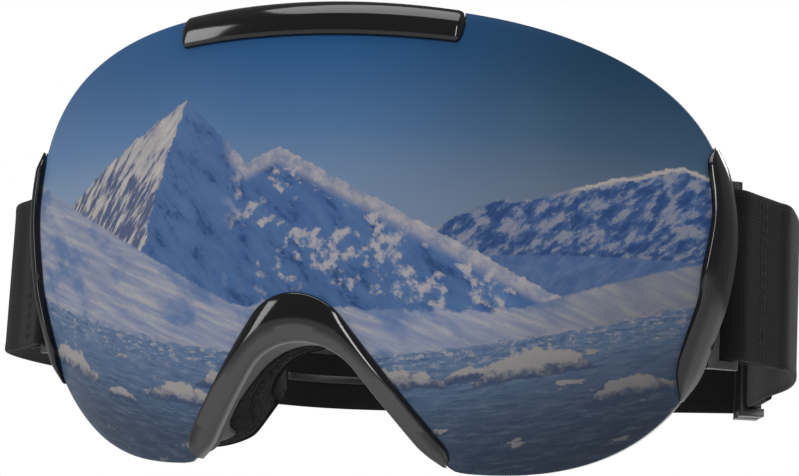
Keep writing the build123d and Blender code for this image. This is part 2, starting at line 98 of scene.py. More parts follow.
def soft_light(name, place, size, watts, aim_at=(0, 0, 0)):
    """A rectangular soft light that faces a point."""
    data = bpy.data.lights.new(name, "AREA")
    data.shape, data.size, data.size_y, data.energy = "RECTANGLE", size[0], size[1], watts
    light = bpy.data.objects.new(name, data)
    light.location = place
    light.rotation_euler = (Vector(aim_at) - Vector(place)).to_track_quat("-Z", "Y").to_euler()
    bpy.context.collection.objects.link(light)
    return light


soft_light("overhead", (0.05, -0.25, 0.75), (0.9, 0.5), 5.0)
soft_light("left_side", (-0.75, -0.55, 0.15), (0.25, 0.7), 3.0)
soft_light("right_side", (0.62, -0.62, 0.22), (0.12, 0.5), 2.4)
soft_light("back", (0.1, 0.9, 0.5), (0.8, 0.4), 4.0)
soft_light("low_card", (0.0, -0.45, -0.55), (0.9, 0.25), 1.2)

world = bpy.data.worlds.new("room")
bpy.context.scene.world = world
world.use_nodes = True
tree = world.node_tree
room = tree.nodes["Background"]
room.inputs["Color"].default_value = (1, 1, 1, 1)
path = tree.nodes.new("ShaderNodeLightPath")
dim = tree.nodes.new("ShaderNodeMapRange")
dim.inputs["To Min"].default_value, dim.inputs["To Max"].default_value = ROOM_MIRRORED, ROOM_SEEN
tree.links.new(path.outputs["Is Camera Ray"], dim.inputs["Value"])
tree.links.new(dim.outputs["Result"], room.inputs["Strength"])
bpy.context.scene.view_settings.view_transform = "Standard"

floor_mesh = bpy.data.meshes.new("floor")
floor_mesh.from_pydata([(-3, -3, FLOOR_Z), (3, -3, FLOOR_Z), (3, 3, FLOOR_Z), (-3, 3, FLOOR_Z)], [],
                       [(0, 1, 2, 3)])
floor = bpy.data.objects.new("floor", floor_mesh)
bpy.context.collection.objects.link(floor)
floor_look = bpy.data.materials.new("pale floor")
floor_look.use_nodes = True
floor_look.node_tree.nodes["Principled BSDF"].inputs["Base Color"].default_value = (0.86, 0.86, 0.87, 1)
floor_look.node_tree.nodes["Principled BSDF"].inputs["Roughness"].default_value = 0.6
floor_mesh.materials.append(floor_look)
print("studio ready")

# %% [markdown]
# A finish is a shader graph, and long graphs are hard to read as node calls. One small class wraps a node's
# output, so that sums and products of outputs are written as plain Python, and each operator adds a Math node.
# The shader class has one method for every other kind of node.

# %% Shader helpers
def srgb(red, green, blue):
    """A colour from 0 to 255 values as they look on a screen, in linear light with alpha."""
    linear = [c / 255 / 12.92 if c <= 10 else ((c / 255 + 0.055) / 1.055) ** 2.4 for c in (red, green, blue)]
    return (*linear, 1.0)


class Out:
    """A node's output, for use in sums: each operator adds a Math node."""

    def __init__(self, shader, socket):
        self.shader, self.socket = shader, socket

    def math(self, operation, *others):
        return self.shader.node("Math", {"operation": operation}, [self, *others])

    def __add__(self, other):
        return self.math("ADD", other)

    def __sub__(self, other):
        return self.math("SUBTRACT", other)

    def __rsub__(self, other):
        return self.shader.node("Math", {"operation": "SUBTRACT"}, [other, self])

    def __mul__(self, other):
        return self.math("MULTIPLY", other)

    def __truediv__(self, other):
        return self.math("DIVIDE", other)

    def __pow__(self, other):
        return self.math("POWER", other)

    __radd__ = __add__
    __rmul__ = __mul__


class Shader:
    """One material's node tree."""

    def __init__(self, name):
        self.material = bpy.data.materials.new(name)
        self.material.use_nodes = True
        self.tree = self.material.node_tree
        self.tree.nodes.clear()

    def node(self, kind, settings=None, inputs=None, out=0):
        """Adds any node: its settings first, then its inputs, by name or in order. Returns one output."""
        made = self.tree.nodes.new("ShaderNode" + kind)
        for key, value in (settings or {}).items():
            if key == "stops":
                while len(made.color_ramp.elements) < len(value):
                    made.color_ramp.elements.new(0.5)
                for element, (place, colour) in zip(made.color_ramp.elements, value):
                    element.position, element.color = place, colour
            else:
                setattr(made, key, value)
        pairs = inputs.items() if isinstance(inputs, dict) else enumerate(inputs or [])
        for key, value in pairs:
            if isinstance(value, Out):
                self.tree.links.new(value.socket, made.inputs[key])
            else:
                made.inputs[key].default_value = value
        return Out(self, made.outputs[out])

    def object_place(self):
        """The piece's own x, y and z, in millimetres."""
        place = self.node("TexCoord", out="Object")
        return [self.node("SeparateXYZ", inputs=[place], out=axis) * 1000 for axis in range(3)]

    def vector(self, x, y, z=0.0):
        return self.node("CombineXYZ", inputs=[x, y, z])

    def noise(self, place, scale, detail=3.0, rough=0.5, kind="FBM"):
        inputs = {"Vector": place, "Scale": scale, "Detail": detail, "Roughness": rough}
        return self.node("TexNoise", {"noise_type": kind}, inputs)

    def step(self, value, low, high):
        """0 below low, 1 above high, smooth between. low may be above high."""
        return self.node("MapRange", {"interpolation_type": "SMOOTHSTEP"}, [value, low, high])

    def mix(self, factor, first, second):
        """Two colours mixed."""
        return self.node("Mix", {"data_type": "RGBA"}, {0: factor, 6: first, 7: second}, out=2)

    def bump(self, height, strength, distance):
        inputs = {"Height": height, "Strength": strength, "Distance": distance}
        return self.node("Bump", inputs=inputs, out="Normal")

    def surface(self, **inputs):
        """Ends the tree in a Principled surface and returns the material."""
        names = {key.replace("_", " ").title().replace("Ior", "IOR"): value for key, value in inputs.items()}
        shader = self.node("BsdfPrincipled", inputs=names)
        self.node_output(shader)
        return self.material

    def node_output(self, shader):
        end = self.tree.nodes.new("ShaderNodeOutputMaterial")
        self.tree.links.new(shader.socket, end.inputs["Surface"])


print("shader helpers ready")

# %% [markdown]
# The outer lens is a toric sheet: one radius round the head and another over the brow, with a mirror coating that
# shows whatever stands before it. A polished mirror in a bare studio would show only lights, so the coating's
# colour carries a painted reflection of a calm winter view, as such a lens shows outdoors: sky, a pointed mountain
# with a sunlit face, a lower range, a snowfield, a shore and water with floating ice. The painted reflection is also
# given off as light, so it stays bright under any lamp, and it is painted darker towards the lower right and the
# rim. The view is painted by arithmetic on the lens's own x and z: a mountain is a top and two slopes, the shore
# is a parabola, the floes are a seeded scatter, and noise breaks every edge, so it needs no picture and stays sharp
# up close.

# %% Mirror coating
SNOW_BLUE, SNOW, SNOW_WARM = srgb(112, 121, 146), srgb(138, 141, 152), srgb(152, 150, 152)
DEEP_SHADE, SHADE, SOFT_SHADE = srgb(40, 62, 102), srgb(56, 82, 124), srgb(74, 100, 138)
SHORE_Z, SHORE_BEND = -28.0, 0.0025          # the shore's lowest height, and how it bends up at both sides
FLOES, FLOE_SEED = 9, 5


def lens_coating():
    s = Shader("mirror coating")
    x, _, z = s.object_place()
    place = s.vector(x, z)
    fine = s.noise(place, 0.9, 5.0, 0.65)
    lumps = s.noise(place, 0.30, 6.0, 0.62)
    broad = s.noise(s.vector(x + z * 0.6, z * 1.2), 0.075, 4.0, 0.55)
    ragged = (fine - 0.5) * 1.6

    def peak(middle, top, left, right, rough=0.6):
        """A mountain's outline at x: its top, and how steeply it falls away to each side."""
        rise = (x - middle) * left + top
        fall = (x - middle) * (0.0 - right) + top
        return rise.math("MINIMUM", fall) + ragged * rough + (lumps - 0.5) * 3.0

    def below(height, soft=0.25):
        return s.step(height - z, -soft, soft)

    # sky: deeper overhead, paler at the horizon, greyer to the right
    height = s.step(z, 0.0, 48.0)
    sky_left = s.node("ValToRGB", {"stops": [(0.0, srgb(124, 140, 160)), (0.45, srgb(86, 114, 150)),
                                             (1.0, srgb(56, 86, 124))]}, [height])
    sky_mid = s.node("ValToRGB", {"stops": [(0.0, srgb(106, 124, 148)), (0.45, srgb(72, 102, 138)),
                                            (1.0, srgb(34, 74, 116))]}, [height])
    sky_right = s.node("ValToRGB", {"stops": [(0.0, srgb(88, 98, 114)), (0.45, srgb(54, 76, 98)),
                                              (1.0, srgb(30, 54, 76))]}, [height])
    sky = s.mix(s.step(x, -80.0, 0.0), sky_left, sky_mid)
    view = s.mix(s.step(x, 0.0, 70.0), sky, sky_right)

    # the far range to the right: two blue peaks with streaks of snow down them, and a pale crest
    far = peak(45, 8, 0.5, 0.4).math("MAXIMUM", peak(80, 20, 0.4, 0.3))
    streaks = s.noise(s.vector((x - z * 0.9) * 0.9, (z + x * 0.9) * 0.35), 0.42, 6.0, 0.64)
    far_blue = s.mix(s.step(streaks, 0.36, 0.62), DEEP_SHADE, srgb(70, 92, 128))
    far_blue = s.mix(s.step(streaks + lumps * 0.3, 0.62, 0.76), far_blue, srgb(112, 116, 130))
    crest = s.step(far - z, 1.4, 0.6) * s.step(x, 54.0, 62.0)
    view = s.mix(below(far), view, s.mix(crest, far_blue, srgb(146, 142, 138)))

    # a level plateau in front of it
    plateau = x * 0.08 - 8.0 + ragged * 0.3
    slope = s.mix(s.step(streaks, 0.35, 0.7), srgb(62, 84, 122), srgb(82, 100, 132))
    view = s.mix(below(plateau) * s.step(x, 25.0, 30.0), view, slope)

    # the main mountain: a pointed peak and a long shoulder, blue in the shade and brushed down the slope
    point = peak(-30, 30, 0.6, 0.9)
    skyline = point.math("MAXIMUM", peak(-5, 18, 0.5, 0.5))
    mountain = below(skyline)
    brushed = s.noise(s.vector((x + z) * 0.6, (z - x) * 0.22), 0.30, 5.0, 0.6)
    body = s.mix(s.step(brushed + broad * 0.4, 0.45, 0.95), SHADE, SOFT_SHADE)
    body = s.mix(s.step(brushed - fine * 0.25, 0.34, 0.22) * 0.8, body, DEEP_SHADE)

    # snow lies under the shoulder's skyline, and hangs in broken ice further down
    cover = s.step(skyline - z, 5.0, 2.0) * s.step(x, -20.0, -14.0)
    hanging = s.step(broad + lumps * 0.5, 0.76, 0.86) * s.step(x, -20.0, -10.0) * s.step(lumps, 0.44, 0.58)
    sunlit = s.mix(s.step(lumps + fine * 0.25, 0.45, 0.78), srgb(108, 116, 138), srgb(148, 145, 148))
    body = s.mix(cover.math("MAXIMUM", hanging), body, sunlit)
    view = s.mix(mountain, view, body)

    # the pointed peak's sunlit side, left of a ridge that wanders down from its top
    ridge = (z - 30.0) * 0.3 - 30.0 + (lumps - 0.5) * 5.0
    face = s.step(ridge - x, -0.3, 0.3) * below(point)
    down = s.vector(x * 0.80 - z * 0.60, (x * 0.60 + z * 0.80) * 0.15)
    rock = s.noise(down, 0.85, 6.0, 0.68)
    dark = s.step(rock + s.step(z, 26.0, 8.0) * 0.13, 0.57, 0.66)
    sun_face = s.mix(s.step(rock, 0.3, 0.6), srgb(168, 163, 158), srgb(136, 135, 140))
    view = s.mix(face, view, s.mix(dark * 0.85, sun_face, srgb(58, 72, 106)))

    # the snowfield in front: a slope that comes down from the left, a lower one from the right, level between
    field = (x * -0.5 - 25.0).math("MAXIMUM", x * 0.4 - 35.0).math("MAXIMUM",
                                                                   broad * 8.0 - 21.0) + ragged * 0.8
    wind = s.noise(s.vector((x + z * 0.9) * 0.30, (z - x * -0.35) * 1.5), 0.33, 6.0, 0.62)
    snow = s.mix(s.step(wind, 0.34, 0.66), SNOW_BLUE, SNOW)
    snow = s.mix(s.step(wind + fine * 0.4, 0.72, 0.95), snow, SNOW_WARM)
    snow = s.mix(s.step(broad, 0.52, 0.36) * 0.8, snow, SOFT_SHADE)
    snow = s.mix(s.step(x, 30.0, 78.0) * 0.55, snow, srgb(104, 103, 106))
    view = s.mix(below(field, 0.4), view, snow)

    # the shore and the water: the edge bends up at both sides, as a curved mirror shows it
    shore = x * x * SHORE_BEND + SHORE_Z
    low = shore - z + (s.noise(s.vector(x * 0.5, z * 2.0), 0.5, 5.0, 0.65) - 0.5) * 2.4
    ripples = s.noise(s.vector(x * 0.16, low * 1.6), 0.9, 5.0, 0.62)
    water = s.mix(s.step(low, 0.0, 24.0), srgb(82, 102, 130), srgb(58, 72, 92))
    water = s.mix(s.step(ripples, 0.45, 0.75) * 0.5, water, srgb(112, 124, 142))
    water = s.mix(s.step(ripples, 0.48, 0.30) * 0.5, water, srgb(42, 56, 82))
    view = s.mix(s.step(low, -0.3, 0.5), view, water)
    scree = s.noise(s.vector(x * 0.45, low * 1.5), 0.85, 6.0, 0.7)
    band = s.step(low, -1.8, 0.2) * s.step(low, 8.0, 1.0)
    view = s.mix(s.step(scree, 0.52, 0.60) * band, view, srgb(134, 134, 142))
    view = s.mix(s.step(scree, 0.44, 0.36) * band * 0.7, view, srgb(48, 68, 106))

    # floating ice: small pieces where the noise is high, then a scatter of larger floes, flat below
    def ice(height, mask, shown):
        """Ice lit from above: height is 0 at its foot and 1 at its top."""
        tone = s.mix(s.step(height + (lumps - 0.5) * 1.5 + (fine - 0.5) * 0.9, 0.05, 0.75),
                     srgb(60, 72, 96), srgb(142, 138, 136))
        return s.mix(mask * 0.94, shown, tone)

    drift = s.noise(s.vector(x * 0.42 + 11.0, low * 1.25), 0.24, 6.0, 0.6)
    view = ice(drift * 2.2 - 0.75, s.step(drift, 0.62, 0.66) * s.step(low, 3.0, 6.0), view)
    chance = random.Random(FLOE_SEED)
    for number in range(FLOES):
        middle = -80.0 + 160.0 * (number + chance.uniform(0.2, 0.8)) / FLOES
        foot = SHORE_Z + SHORE_BEND * middle * middle - chance.uniform(5.0, 16.0)
        length = chance.uniform(5.0, 13.0)
        tall = length * chance.uniform(0.3, 0.45)
        ahead, up = (x - middle) / length, z - foot - (x - middle) * (2 * SHORE_BEND * middle)
        bell = 1.0 - ahead * ahead
        edge = (lumps - 0.5) * 1.9 + (fine - 0.5) * 0.7
        rise = up / tall
        mask = s.step(bell + edge * 0.7 - rise, 0.0, 0.14) * s.step(up + edge * 1.3, -1.5, -0.9)
        view = ice(rise + 0.25, mask * s.step(bell, 0.0, 0.1), view)

    # painted shade: the painted reflection darkens towards the lower right and the rim
    fall = s.step(x * 0.60 - z * 0.95, 34.0, 92.0)
    view = s.mix(fall * 0.82, view, srgb(34, 36, 42))
    painted_rim_shade = s.step(z * -1.0 - x * 0.25, 44.0, 62.0)
    view = s.mix(painted_rim_shade * 0.5, view, srgb(52, 58, 70))
    # painted glow: the painted reflection is also given off as light, so it stays bright under any lamp
    reflection_glow = s.mix(0.30, view, (0, 0, 0, 1))
    return s.surface(base_color=s.mix(0.60, view, (0, 0, 0, 1)), roughness=0.30, metallic=0.0,
                     specular_ior_level=0.02, emission_color=reflection_glow, emission_strength=1.0)


coating = lens_coating()
print("mirror coating:", len(coating.node_tree.nodes), "nodes")

# %% [markdown]
# The lens's outline is a superellipse above, two lobes below and a notch for the nose: a round crown with straight
# legs. Every point between them can be found from x alone, so the lens is a grid of upright columns laid on the
# toric surface. The rim gets a small chamfer, which catches a thin line of light as a cut edge does.

# %% Lens surface and outline
RADIUS_ACROSS, RADIUS_UP = 103.5, 113.0
AXIS_Y, EQUATOR_Z = 40.0, 13.7
HALF_WIDTH, WIDEST_Z, TOP_Z, BOTTOM_Z = 88.0, 7.2, 51.9, -51.9
TOP_POWER, LOBE_POWER, LOBE_X = 2.74, 2.36, 35.8
LEAN = math.radians(37.25)
LENS_NOTCH, TRIM_NOTCH, NOSE_OPENING = (14.5, -34.5), (13.4, -27.8), (16.0, -40.6)
LENS_THICK = 1.6


def on_lens(x, z, out=0.0):
    """A point over the lens's outer face, out millimetres off it."""
    reach = RADIUS_ACROSS - RADIUS_UP + math.sqrt((RADIUS_UP + out) ** 2 - (z - EQUATOR_Z) ** 2)
    return (x, AXIS_Y - math.sqrt(max(reach**2 - x**2, 1.0)), z)


def notch_z(x, notch, grow=0.0):
    """The height of a nose notch's edge at x: crown, then leg."""
    radius, centre = notch[0] + grow, notch[1]
    x = abs(x)
    if x < radius * math.cos(LEAN):
        return centre + math.sqrt(radius**2 - x**2)
    return centre + radius * math.sin(LEAN) - (x - radius * math.cos(LEAN)) / math.tan(LEAN)


def top_z(x, inset=0.0, temple=0.0):
    half = HALF_WIDTH - inset - temple
    return WIDEST_Z + (TOP_Z - inset - WIDEST_Z) * max(1 - (abs(x) / half) ** TOP_POWER, 0) ** (1 / TOP_POWER)


def bottom_z(x, inset=0.0, temple=0.0, notch=LENS_NOTCH, grow=None):
    """The height of the outline's lower edge at x: notch, turn, then lobe."""
    x, low = abs(x), BOTTOM_Z + inset
    grow = inset if grow is None else grow
    if x >= LOBE_X:
        across = HALF_WIDTH - inset - temple - LOBE_X
        part = max(1 - ((x - LOBE_X) / across) ** LOBE_POWER, 0)
        return WIDEST_Z - (WIDEST_Z - low) * part ** (1 / LOBE_POWER)
    edge = notch_z(x, notch, grow)
    turn = low + 0.018 * (LOBE_X - x) ** 2
    blend = 0.7
    return max(edge, turn) + blend * math.exp(-abs(edge - turn) / blend) * 0.5


def add_mesh(name, points, faces, smooth=True):
    """A piece from points in millimetres."""
    mesh = bpy.data.meshes.new(name)
    mesh.from_pydata([(x * MM, y * MM, z * MM) for x, y, z in points], [], faces)
    mesh.validate()
    mesh.polygons.foreach_set("use_smooth", [smooth] * len(mesh.polygons))
    piece = bpy.data.objects.new(name, mesh)
    bpy.context.collection.objects.link(piece)
    return piece


def face_out(piece):
    """Turns every face of a closed piece outwards."""
    work = bmesh.new()
    work.from_mesh(piece.data)
    bmesh.ops.remove_doubles(work, verts=work.verts, dist=1e-7)
    bmesh.ops.recalc_face_normals(work, faces=work.faces)
    work.to_mesh(piece.data)
    work.free()
    return piece


def columns(count, half):
    """x stations, closer together towards both sides."""
    return [half * math.sin(math.pi * (i / count - 0.5)) for i in range(count + 1)]


def sheet_on_lens(name, insets, outs, temple=0.0, across=220, up=70):
    """A closed sheet: its faces and chamfered rim follow the lens. insets and outs run front to back."""
    half = HALF_WIDTH - temple
    points, faces = [], []

    def grid(inset, out):
        first = len(points)
        for x in columns(across, (half - inset) * 0.9993):
            low, high = bottom_z(x, inset, temple), top_z(x, inset, temple)
            points.extend(on_lens(x, low + (high - low) * j / up, out) for j in range(up + 1))
        return first

    def rim(first):
        rows = up + 1
        low = [first + i * rows for i in range(across + 1)]
        right = [first + across * rows + j for j in range(1, up + 1)]
        high = [first + i * rows + up for i in range(across - 1, -1, -1)]
        left = [first + j for j in range(up - 1, 0, -1)]
        return low + right + high + left

    starts = [grid(inset, out) for inset, out in zip(insets, outs)]
    for first, flip in ((starts[0], False), (starts[-1], True)):
        for i in range(across):
            for j in range(up):
                a = first + i * (up + 1) + j
                quad = (a, a + up + 1, a + up + 2, a + 1)
                faces.append(quad[::-1] if flip else quad)
    for near, far in zip(starts, starts[1:]):
        a, b = rim(near), rim(far)
        for k in range(len(a)):
            n = (k + 1) % len(a)
            faces.append((a[k], b[k], b[n], a[n]))
    return face_out(add_mesh(name, points, faces))


def finish(piece, body, material, slot, *nodes):
    """A finished piece rides on its body, takes its finish and stands for its CAD nodes."""
    if material is not None:
        piece.data.materials.clear()
        piece.data.materials.append(material)
    if body is not None:
        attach(piece, body)
    if nodes:
        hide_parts(*nodes)
    print(piece.name, len(piece.data.polygons), "faces on", body)
    return piece


def lens_tint():
    """The lens's back and edge: smoke-grey plastic with a faint blue bloom where the coating shows through."""
    s = Shader("smoke tint")
    x, _, z = s.object_place()
    bloom = s.noise(s.vector(x, z), 0.02, 2.0)
    # painted reflection: the tint is painted paler and bluer at grazing angles, read from the view direction
    edge = s.step(s.node("LayerWeight", {}, {"Blend": 0.35}, out="Facing"), 0.55, 0.95)
    tone = s.mix(bloom, srgb(26, 27, 30), srgb(38, 42, 52))
    return s.surface(base_color=s.mix(edge * 0.4, tone, srgb(60, 74, 96)), roughness=0.09, coat_weight=0.4,
                     specular_ior_level=0.5)


outer_lens = sheet_on_lens("outer_lens_mirrored", (0.35, 0.0, 0.0, 0.3), (0.0, -0.35, -1.3, -LENS_THICK))
finish(outer_lens, "goggles", coating, "lens_mirror", "outer_lens")
outer_lens.data.materials.append(lens_tint())
for face in outer_lens.data.polygons:
    face.material_index = 1 if face.normal.y > -0.12 else 0

# %% [markdown]
# The trims are gloss mouldings that clip over the lens's edge. A moulded trim is a profile carried along a path,
# so each one is lofted: a ring of points at each station, from the edge on the lens, over a crease or a crown, to
# the far edge and back under. The crease splits the surface into two facets that mirror different things.

# %% Loft helper
def loft(name, rings, closed=False):
    """Joins rings of equal length into a skin, with a fan over each end unless the rings close."""
    size, points, faces = len(rings[0]), [], []
    for ring in rings:
        points.extend(ring)
    count = len(rings)
    for i in range(count if closed else count - 1):
        for j in range(size):
            a, b = i * size + j, i * size + (j + 1) % size
            c, d = (i + 1) % count * size + (j + 1) % size, (i + 1) % count * size + j
            faces.append((a, b, c, d))
    if not closed:
        for ring, first in ((rings[0], 0), (rings[-1], (count - 1) * size)):
            middle = len(points)
            points.append(tuple(sum(p[axis] for p in ring) / size for axis in range(3)))
            faces.extend((first + (j + 1) % size, first + j, middle) for j in range(size))
    return face_out(add_mesh(name, points, faces))


def lerp(a, b, t):
    return tuple(p + (q - p) * t for p, q in zip(a, b))


# %% [markdown]
# Gloss black plastic: almost black under a clear surface, with the faint waviness that moulded parts show in
# their reflections, and hair-fine handling marks. The facet that looks down is painted a little greyer, a painted
# reflection of the grey it mirrors from below, and it is also rougher, with a fine texture.

# %% Moulded plastics
def gloss_plastic(name, dark, pale):
    s = Shader(name)
    x, y, z = s.object_place()
    place = s.vector(x, y, z)
    band = s.node("Attribute", {"attribute_name": "band"}, out="Fac")
    cloud = s.noise(place, 0.08, 2.0)
    marks = s.noise(s.vector(x * 0.3, y * 0.3, z * 6.0), 1.6, 4.0, 0.7)
    # painted reflection: the downward facet is painted the paler grey it would mirror; its higher roughness is real
    colour = s.mix(band, s.mix(cloud, dark, tuple(c * 1.5 for c in dark)), pale)
    rough = 0.10 + band * 0.22 + s.step(marks, 0.62, 0.78) * 0.08
    wave = s.bump(s.noise(place, 0.12, 1.0) + band * s.noise(place, 4.0, 3.0) * 0.04, 0.05, 0.001)
    return s.surface(base_color=colour, roughness=rough, normal=wave, specular_ior_level=0.5)


# the paler tone is the painted reflection on the downward facet
gloss = gloss_plastic("gloss black", srgb(10, 10, 11), srgb(62, 62, 63))
print("gloss plastic ready")

# %% Nose trim
TRIM_STANDS = 2.4
NOSE_STATIONS = 96


def notch_path(notch, foot_z, grow=0.0):
    """Evenly spaced (x, z) along a notch's edge, from the +X foot over the crown to the -X foot."""
    radius, centre = notch[0] + grow, notch[1]
    sweep = math.pi / 2 - LEAN
    knee = (radius * math.cos(LEAN), centre + radius * math.sin(LEAN))
    leg = (knee[1] - foot_z) / math.cos(LEAN)
    total = 2 * leg + 2 * radius * sweep
    out = []
    for i in range(NOSE_STATIONS + 1):
        s = total * i / NOSE_STATIONS
        side, s = (1, s) if s <= total / 2 else (-1, total - s)
        if s < leg:
            t = 1 - s / leg
            out.append((side * (knee[0] + t * leg * math.sin(LEAN)), knee[1] - t * leg * math.cos(LEAN)))
        else:
            angle = LEAN + (s - leg) / radius
            out.append((side * radius * math.cos(angle), centre + radius * math.sin(angle)))
    return out


def nose_trim():
    outer, inner = notch_path(TRIM_NOTCH, -49.2), notch_path(NOSE_OPENING, -49.2)
    rings = []
    for i, (a, b) in enumerate(zip(outer, inner)):
        t = abs(2 * i / NOSE_STATIONS - 1)                 # 0 at the crown, 1 at the feet
        crease = 0.66 - 0.46 * min(max((t - 0.08) / 0.55, 0), 1) ** 1.2
        end = max((t - 0.90) / 0.10, 0)                     # the feet are rounded
        narrow = math.sqrt(max(1 - end**2, 0.0))
        middle = lerp(a, b, 0.5)
        a, b = lerp(middle, a, max(narrow, 0.05)), lerp(middle, b, max(narrow, 0.05))
        drop = 1.6 * (1 - narrow) if end else 0.0
        high = 0.35 + 0.65 * narrow
        profile = [(0.0, -0.3), (0.0, 0.9 * high), (0.05, 1.6 * high), (crease - 0.06, TRIM_STANDS * high),
                   (crease, 2.5 * high), (crease + 0.06, 2.3 * high), ((crease + 1) / 2, 1.7 * high),
                   (0.94, 1.05 * high), (1.0, 0.6 * high), (1.03, -0.4), (1.03, -2.3), (0.8, -2.3), (0.72, -0.3)]
        ring = []
        for across, out in profile:
            x, z = lerp(a, b, across)
            ring.append(on_lens(x, z - drop, out))
        rings.append(ring)
    piece = loft("nose_trim_moulding", rings)
    # the band attribute marks the downward facet, which the gloss shader paints greyer as a painted reflection
    reflected_grey_facet = []
    for vertex in piece.data.vertices:
        px, _, pz = (c / MM for c in vertex.co)
        near = min(range(len(outer)), key=lambda i: (outer[i][0] - px) ** 2 + (outer[i][1] - pz) ** 2)
        t = abs(2 * near / NOSE_STATIONS - 1)
        crease = 0.66 - 0.46 * min(max((t - 0.08) / 0.55, 0), 1) ** 1.2
        a, b = outer[near], inner[near]
        across = ((px - a[0]) * (b[0] - a[0]) + (pz - a[1]) * (b[1] - a[1])) / max(math.dist(a, b) ** 2, 1e-6)
        reflected_grey_facet.append(min(max((across - crease) / 0.05, 0.0), 1.0))
    piece.data.attributes.new("band", "FLOAT", "POINT").data.foreach_set("value", reflected_grey_facet)
    return piece


nose = nose_trim()
finish(nose, "goggles", gloss, "trim", "nose_trim")

# %% [markdown]
# The side and top trims are lofts too. Their edges are smooth curves through a few points on the lens, and each
# profile carries on past the lens's rim as a skirt, because the real covers wrap round the edge and hide it.

# %% Side and top trims
def curve_through(points, count):
    """Evenly spaced points along a smooth curve through the given ones."""
    given = [np.array(p, float) for p in points]
    given = [2 * given[0] - given[1], *given, 2 * given[-1] - given[-2]]
    fine = []
    for a, b, c, d in zip(given, given[1:], given[2:], given[3:]):
        for t in np.linspace(0, 1, 24, endpoint=False):
            fine.append(0.5 * (2 * b + (c - a) * t + (2 * a - 5 * b + 4 * c - d) * t**2
                               + (3 * b - a - 3 * c + d) * t**3))
    fine = np.array([*fine, given[-2]])
    run = np.concatenate([[0], np.cumsum(np.linalg.norm(np.diff(fine, axis=0), axis=1))])
    even = np.linspace(0, run[-1], count)
    return [tuple(np.interp(t, run, fine[:, axis]) for axis in range(fine.shape[1])) for t in even]


SIDE_BACK_Y = -10.6
SIDE_INNER = [(85.5, 26.0), (84.4, 22.0), (85.3, 15.0), (85.4, 8.0), (83.6, -3.5), (82.7, -10.0), (78.4, -24.5),
              (78.2, -32.2)]
SIDE_OUTER = [(86.0, 26.2), (88.5, 20.6), (90.1, 12.0), (90.3, 4.0), (89.3, -4.5), (87.5, -12.5), (82.8, -26.0),
              (78.8, -32.4)]


def side_trim(sign):
    inner, outer = curve_through(SIDE_INNER, 70), curve_through(SIDE_OUTER, 70)
    rings = []
    for i, (a, b) in enumerate(zip(inner, outer)):
        t = i / 69
        full = min(1.0, 0.42 + 7.0 * t, 0.30 + 9.0 * (1 - t))
        profile = [(-0.02, -0.3), (-0.02, 0.5), (0.07, 1.5), (0.22, 2.0), (0.46, 2.35), (0.54, 2.4), (0.62, 2.25),
                   (0.82, 1.75), (0.94, 1.2), (1.0, 0.3)]
        ring = []
        for across, out in profile:
            x, z = lerp(a, b, across)
            ring.append(on_lens(x, z, out * full))
        front_y = ring[-1][1]
        back_y = max(SIDE_BACK_Y, front_y + 0.3)
        x, z = b
        ring += [(x + 0.05, (front_y + back_y) / 2, z), (x - 0.15, back_y - 0.3, z), (x - 0.5, back_y, z),
                 (x - 1.7, back_y, z), (x - 1.9, back_y - 0.4, z), (x - 2.0, front_y + 0.2, z)]
        rings.append([(sign * px, py, pz) for px, py, pz in ring])
    return loft(f"side_trim_moulding_{'left' if sign > 0 else 'right'}", rings)


def top_trim():
    half, stations, rings = 34.0, 80, []
    for i in range(stations + 1):
        x = half * math.sin(math.pi / 2 * (2 * i / stations - 1))
        t = abs(x) / half
        narrow = math.sqrt(max(1 - max((t - 0.955) / 0.045, 0) ** 2, 0.02))
        low, high = 44.1 - 1.2 * t**2, 52.7 - 1.7 * t**2
        middle = (low + high) / 2 + 0.6
        low, high = middle + (low - middle) * narrow, middle + (high - middle) * (0.4 + 0.6 * narrow)
        profile = [(0.0, -0.3), (0.0, 0.9), (0.06, 1.6), (0.16, 2.0), (0.55, 2.4), (0.62, 2.4), (0.86, 1.9),
                   (0.97, 1.2), (1.0, 0.4), (1.0, -2.0), (0.98, -4.2), (0.94, -4.4), (0.84, -4.4), (0.83, -0.3)]
        lift = 0.5 + 0.5 * narrow
        rings.append([on_lens(x, low + (high - low) * across, out * lift if out > 0 else out)
                      for across, out in profile])
    return loft("top_trim_moulding", rings)


for side, sign in (("left", 1), ("right", -1)):
    finish(side_trim(sign), "goggles", gloss, "trim", f"side_trim_{side}")
finish(top_trim(), "goggles", gloss, "trim", "top_trim")

# %% [markdown]
# The strap is knitted elastic webbing, 41 mm wide, with a slightly thicker selvage along each edge. It is one
# ribbon from the sewn loop on each outrigger's bar to its tip, so the outrigger's joint must bend it: the ribbon is
# modelled whole. The ribbon carries its own length as an attribute, so that the knit follows it round every bend.

# %% Strap route
STRAP_HALF, STRAP_MID_Z, STRAP_THICK = 20.35, -1.35, 1.8
PIN, REACH, BAR_RADIUS = (80.0, -5.5), 9.66, 1.6
TURNED_BACK = {"left": 32.0, "right": 21.0}
STRAP_OUT = {"left": 20.0, "right": 40.0}
LAYER = BAR_RADIUS + STRAP_THICK / 2 + 0.15
STRETCH = {"left": ((84.5, 105.0), (69.5, 165.0)), "right": ((-117.0, 92.0), (-110.5, 152.0))}
SIDE_WAY = {"left": [(98.6, 22.0), (97.5, 48.0), (92.5, 76.0)], "right": [(-113.4, 23.0), (-118.2, 52.0)]}
REAR_WAY = [(46.0, 175.0), (-8.0, 191.5), (-62.0, 207.5), (-92.0, 198.0)]
STRAP_END = 15.5
SIGN = {"left": 1, "right": -1}


